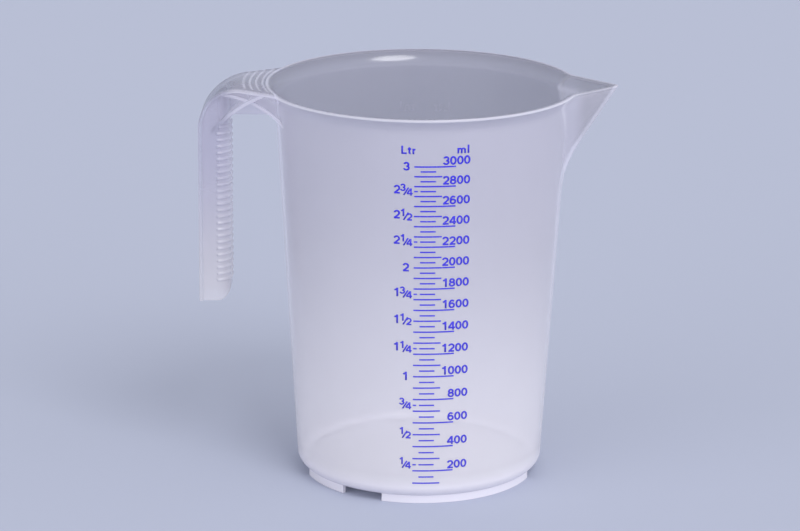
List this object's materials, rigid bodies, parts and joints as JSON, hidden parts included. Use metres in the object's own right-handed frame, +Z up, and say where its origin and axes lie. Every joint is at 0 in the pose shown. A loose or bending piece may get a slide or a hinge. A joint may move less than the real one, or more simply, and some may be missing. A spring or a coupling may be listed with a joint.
{
  "type": "measuring jug",
  "caption": "Tapered measuring jug in clear milky plastic, with a pointed spout, a hooked ribbed handle braced to the rim, a notched foot ring and a blue printed scale.",
  "frame": {"origin": "on the axis of the vessel, in the plane of the table that the foot ring stands on", "axes": "+X points to the tip of the spout, -X to the handle, +Z up, and the printed scale faces -Y"},
  "size_m": [0.2285, 0.171, 0.2204],
  "materials": {
    "clear_plastic": "satin, translucent",
    "blue_ink": "satin"
  },
  "bodies": {
    "root": {"floor": "clear_plastic", "heel": "clear_plastic", "foot_front_long": "clear_plastic", "foot_front_short": "clear_plastic", "foot_back_long": "clear_plastic", "foot_back_short": "clear_plastic", "wall": "clear_plastic", "rim": "clear_plastic", "spout": "clear_plastic", "handle_strap": "clear_plastic", "handle_grip": "clear_plastic", "grip_ribs": "clear_plastic", "bridge_web": "clear_plastic", "rising_rib": "clear_plastic", "falling_rib": "clear_plastic", "thumb_ridges": "clear_plastic", "printed_scale": "blue_ink", "raised_scale": "clear_plastic"}
  },
  "joints": []
}
